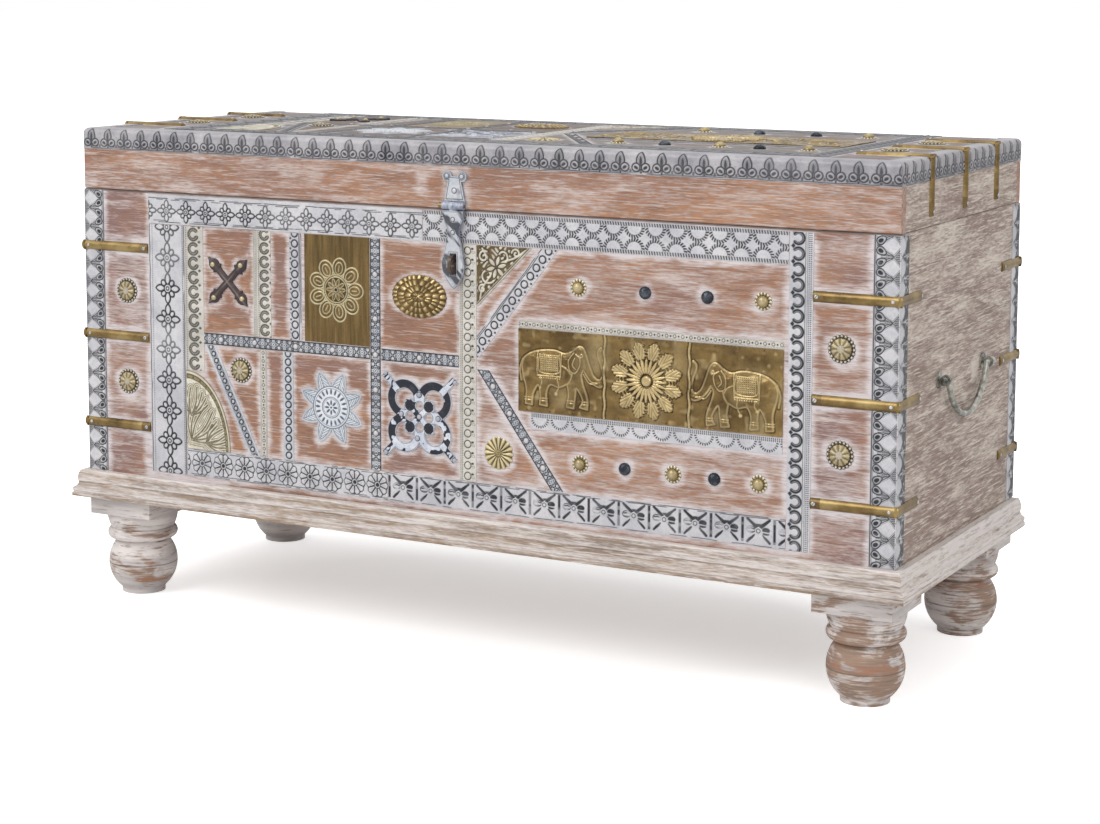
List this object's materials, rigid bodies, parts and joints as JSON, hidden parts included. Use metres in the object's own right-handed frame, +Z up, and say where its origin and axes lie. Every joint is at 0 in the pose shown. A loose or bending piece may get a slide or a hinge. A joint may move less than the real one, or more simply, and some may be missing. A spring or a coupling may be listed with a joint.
{
  "type": "dowry chest",
  "caption": "Low wooden dowry chest on turned bun feet, with a hinged lid, a hasp over a staple, bail handles and embossed metal strips, plates, medallions and studs.",
  "frame": {"origin": "on the floor under the middle of the chest's bounding box", "axes": "+X to the right along the chest as seen from its front, -Y is the front with the hasp, +Z up"},
  "size_m": [1.18, 0.46, 0.637],
  "materials": {
    "washed_wood": "whitewashed, brushed, matte",
    "plinth_wood": "whitewashed, rubbed back on the edges, matte",
    "foot_wood": "turned, whitewashed, worn to bare wood in patches",
    "worn_iron": "brushed and worn",
    "dark_iron": "forged, dark, satin",
    "aged_brass": "aged, with pale wash in its recesses",
    "embossed_metal": "embossed silvery white metal with dark recesses"
  },
  "bodies": {
    "chest": {"front_panel": "washed_wood", "back_panel": "washed_wood", "left_side_panel": "washed_wood", "right_side_panel": "washed_wood", "bottom_board": "washed_wood", "plinth_front": "plinth_wood", "plinth_left": "plinth_wood", "plinth_right": "plinth_wood", "foot_front_left": "foot_wood", "foot_front_right": "foot_wood", "foot_back_left": "foot_wood", "foot_back_right": "foot_wood", "foot_dowels": "foot_wood", "body_hinge_leaves": "worn_iron", "hinge_pins": "worn_iron", "staple": "dark_iron", "left_handle_posts": "aged_brass", "right_handle_posts": "aged_brass", "corner_angles": "embossed_metal", "left_border": "embossed_metal", "right_border": "embossed_metal", "top_borders": "embossed_metal", "bottom_borders": "embossed_metal", "beaded_strips": "aged_brass", "chain_strips": "embossed_metal", "filigree_strips": "embossed_metal", "scroll_strip": "aged_brass", "lace_strip": "embossed_metal", "flower_plate": "aged_brass", "peacock_plate": "aged_brass", "floral_corner_plate": "aged_brass", "elephant_panel": "aged_brass", "star_medallion": "embossed_metal", "oval_medallion": "aged_brass", "fretwork_medallion": "embossed_metal", "iron_cross": "dark_iron", "rosettes": "aged_brass", "brass_studs": "aged_brass", "iron_studs": "dark_iron", "corner_straps": "aged_brass", "strap_nails": "aged_brass"},
    "lid": {"lid_front_rail": "washed_wood", "lid_back_rail": "washed_wood", "lid_left_rail": "washed_wood", "lid_right_rail": "washed_wood", "lid_top_board": "washed_wood", "lid_edge_strips": "embossed_metal", "lid_straps": "aged_brass", "lid_strap_nails": "aged_brass", "lid_borders": "embossed_metal", "lid_strips": "embossed_metal", "lid_plates": "aged_brass", "lid_medallions": "embossed_metal", "lid_studs": "aged_brass", "lid_hinge_leaves": "worn_iron", "hasp_plate": "worn_iron", "hasp_pin": "aged_brass"},
    "hasp": {"hasp_leaf": "worn_iron"},
    "left_handle": {"left_bail": "aged_brass"},
    "right_handle": {"right_bail": "aged_brass"}
  },
  "joints": [
    {"name": "lid_hinge", "type": "hinge", "parent": "chest", "child": "lid", "pos_m": [0, 0.225, 0.55025], "axis": [-1, 0, 0], "range_deg": [0, 100]},
    {"name": "hasp_hinge", "type": "hinge", "parent": "lid", "child": "hasp", "pos_m": [0, -0.2173, 0.5547], "axis": [-1, 0, 0], "range_deg": [0, 170]},
    {"name": "left_handle_swing", "type": "hinge", "parent": "chest", "child": "left_handle", "pos_m": [-0.581, 0.004, 0.367], "axis": [0, 1, 0], "range_deg": [-5, 170]},
    {"name": "right_handle_swing", "type": "hinge", "parent": "chest", "child": "right_handle", "pos_m": [0.581, 0.004, 0.367], "axis": [0, -1, 0], "range_deg": [-5, 170]}
  ]
}
